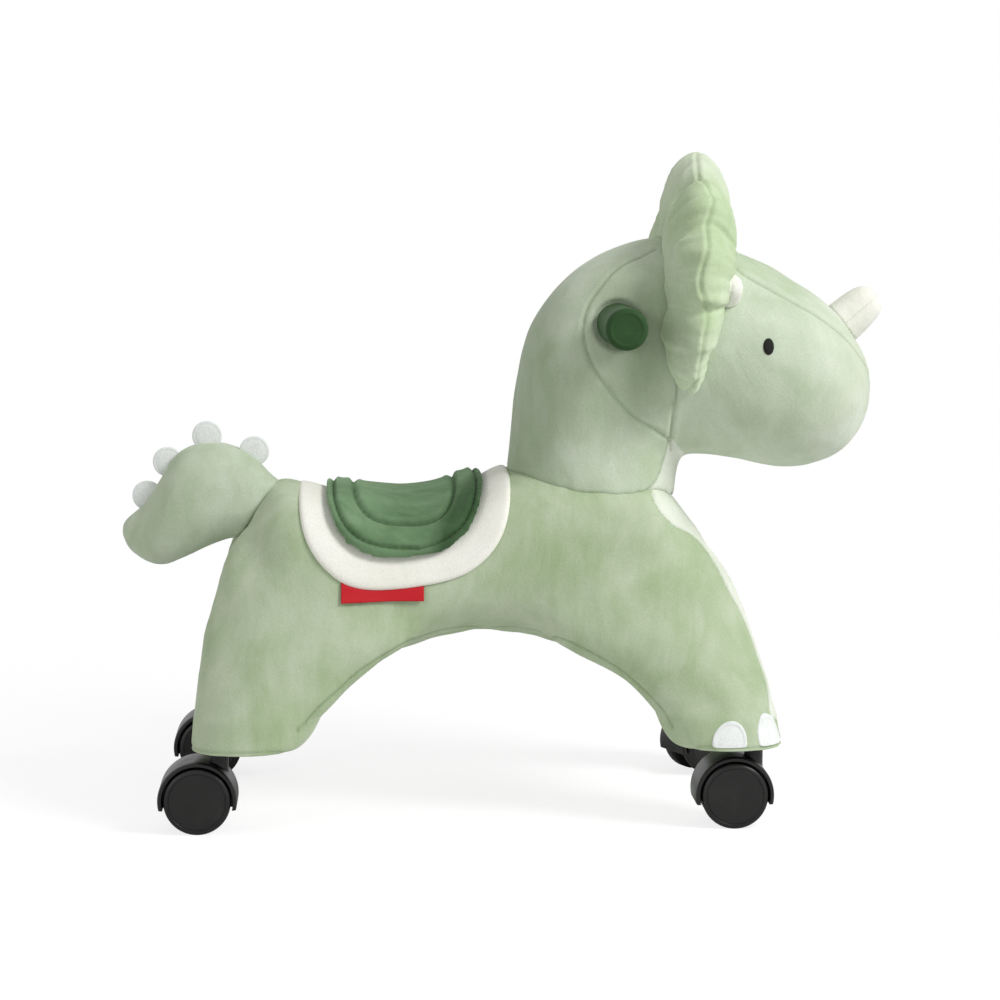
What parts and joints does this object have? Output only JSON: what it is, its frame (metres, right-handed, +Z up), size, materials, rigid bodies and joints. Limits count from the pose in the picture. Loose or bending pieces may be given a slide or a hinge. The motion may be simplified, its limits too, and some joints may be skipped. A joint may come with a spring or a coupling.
{
  "type": "plush ride on animal",
  "caption": "Stuffed horned dinosaur ride-on toy with a padded saddle, side grips and twin-wheel swivel castors under its feet.",
  "frame": {"origin": "on the floor, under the centre of the part's bounding box", "axes": "+X towards the nose, +Y to the animal's left, +Z up"},
  "size_m": [0.586, 0.2656, 0.5042],
  "materials": {
    "green_plush": "short soft pile, matt",
    "cream_plush": "short soft pile, matt",
    "white_felt": "padded felt, matt",
    "saddle_velour": "dark green velour, quilted",
    "red_ribbon": "woven ribbon, satin",
    "eye_thread": "satin stitch",
    "black_nylon": "moulded black nylon, fine texture",
    "grip_plastic": "dark green moulded plastic, satin",
    "steel": "zinc-plated steel"
  },
  "bodies": {
    "animal": {"torso": "green_plush", "leg_front_left": "green_plush", "leg_front_right": "green_plush", "leg_rear_left": "green_plush", "leg_rear_right": "green_plush", "neck": "green_plush", "head": "green_plush", "frill": "green_plush", "tail": "green_plush", "nose_horn": "cream_plush", "brow_horn_left": "cream_plush", "brow_horn_right": "cream_plush", "tail_spike_1": "white_felt", "tail_spike_2": "white_felt", "tail_spike_3": "white_felt", "tail_spike_4": "white_felt", "saddle_blanket": "cream_plush", "seat_pad": "saddle_velour", "side_tag": "red_ribbon", "eye_left": "eye_thread", "eye_right": "eye_thread", "toenail_left_outer": "white_felt", "toenail_left_middle": "white_felt", "toenail_left_inner": "white_felt", "toenail_right_outer": "white_felt", "toenail_right_middle": "white_felt", "toenail_right_inner": "white_felt", "welded_frame": "steel", "handlebar": "steel", "grip_left": "grip_plastic", "grip_right": "grip_plastic", "foot_plate_front_left": "black_nylon", "foot_plate_front_right": "black_nylon", "foot_plate_rear_left": "black_nylon", "foot_plate_rear_right": "black_nylon", "tube_insert_front_left": "black_nylon", "tube_insert_front_right": "black_nylon", "tube_insert_rear_left": "black_nylon", "tube_insert_rear_right": "black_nylon", "castor_stem_front_left": "steel", "castor_stem_front_right": "steel", "castor_stem_rear_left": "steel", "castor_stem_rear_right": "steel"},
    "castor_front_left": {"castor_hood_front_left": "black_nylon", "castor_axle_front_left": "steel"},
    "castor_front_right": {"castor_hood_front_right": "black_nylon", "castor_axle_front_right": "steel"},
    "castor_rear_left": {"castor_hood_rear_left": "black_nylon", "castor_axle_rear_left": "steel"},
    "castor_rear_right": {"castor_hood_rear_right": "black_nylon", "castor_axle_rear_right": "steel"},
    "front_left_outer_wheel": {"wheel_front_left_left": "black_nylon"},
    "front_left_inner_wheel": {"wheel_front_left_right": "black_nylon"},
    "front_right_inner_wheel": {"wheel_front_right_left": "black_nylon"},
    "front_right_outer_wheel": {"wheel_front_right_right": "black_nylon"},
    "rear_left_outer_wheel": {"wheel_rear_left_left": "black_nylon"},
    "rear_left_inner_wheel": {"wheel_rear_left_right": "black_nylon"},
    "rear_right_inner_wheel": {"wheel_rear_right_left": "black_nylon"},
    "rear_right_outer_wheel": {"wheel_rear_right_right": "black_nylon"}
  },
  "joints": [
    {"name": "swivel_front_left", "type": "hinge", "parent": "animal", "child": "castor_front_left", "pos_m": [0.186, 0.1, 0.05], "axis": [0, 0, 1], "continuous": true},
    {"name": "swivel_front_right", "type": "hinge", "parent": "animal", "child": "castor_front_right", "pos_m": [0.186, -0.1, 0.05], "axis": [0, 0, 1], "continuous": true},
    {"name": "swivel_rear_left", "type": "hinge", "parent": "animal", "child": "castor_rear_left", "pos_m": [-0.215, 0.1, 0.05], "axis": [0, 0, 1], "continuous": true},
    {"name": "swivel_rear_right", "type": "hinge", "parent": "animal", "child": "castor_rear_right", "pos_m": [-0.215, -0.1, 0.05], "axis": [0, 0, 1], "continuous": true},
    {"name": "roll_front_left_outer", "type": "hinge", "parent": "castor_front_left", "child": "front_left_outer_wheel", "pos_m": [0.17138, 0.09349, 0.02469], "axis": [-0.4067, 0.9135, 0], "continuous": true},
    {"name": "roll_front_left_inner", "type": "hinge", "parent": "castor_front_left", "child": "front_left_inner_wheel", "pos_m": [0.17138, 0.09349, 0.02469], "axis": [-0.4067, 0.9135, 0], "continuous": true},
    {"name": "roll_front_right_inner", "type": "hinge", "parent": "castor_front_right", "child": "front_right_inner_wheel", "pos_m": [0.17, -0.1, 0.02469], "axis": [0, 1, 0], "continuous": true},
    {"name": "roll_front_right_outer", "type": "hinge", "parent": "castor_front_right", "child": "front_right_outer_wheel", "pos_m": [0.17, -0.1, 0.02469], "axis": [0, 1, 0], "continuous": true},
    {"name": "roll_rear_left_outer", "type": "hinge", "parent": "castor_rear_left", "child": "rear_left_outer_wheel", "pos_m": [-0.231, 0.1, 0.02469], "axis": [0, 1, 0], "continuous": true},
    {"name": "roll_rear_left_inner", "type": "hinge", "parent": "castor_rear_left", "child": "rear_left_inner_wheel", "pos_m": [-0.231, 0.1, 0.02469], "axis": [0, 1, 0], "continuous": true},
    {"name": "roll_rear_right_inner", "type": "hinge", "parent": "castor_rear_right", "child": "rear_right_inner_wheel", "pos_m": [-0.231, -0.1, 0.02469], "axis": [0, 1, 0], "continuous": true},
    {"name": "roll_rear_right_outer", "type": "hinge", "parent": "castor_rear_right", "child": "rear_right_outer_wheel", "pos_m": [-0.231, -0.1, 0.02469], "axis": [0, 1, 0], "continuous": true}
  ]
}
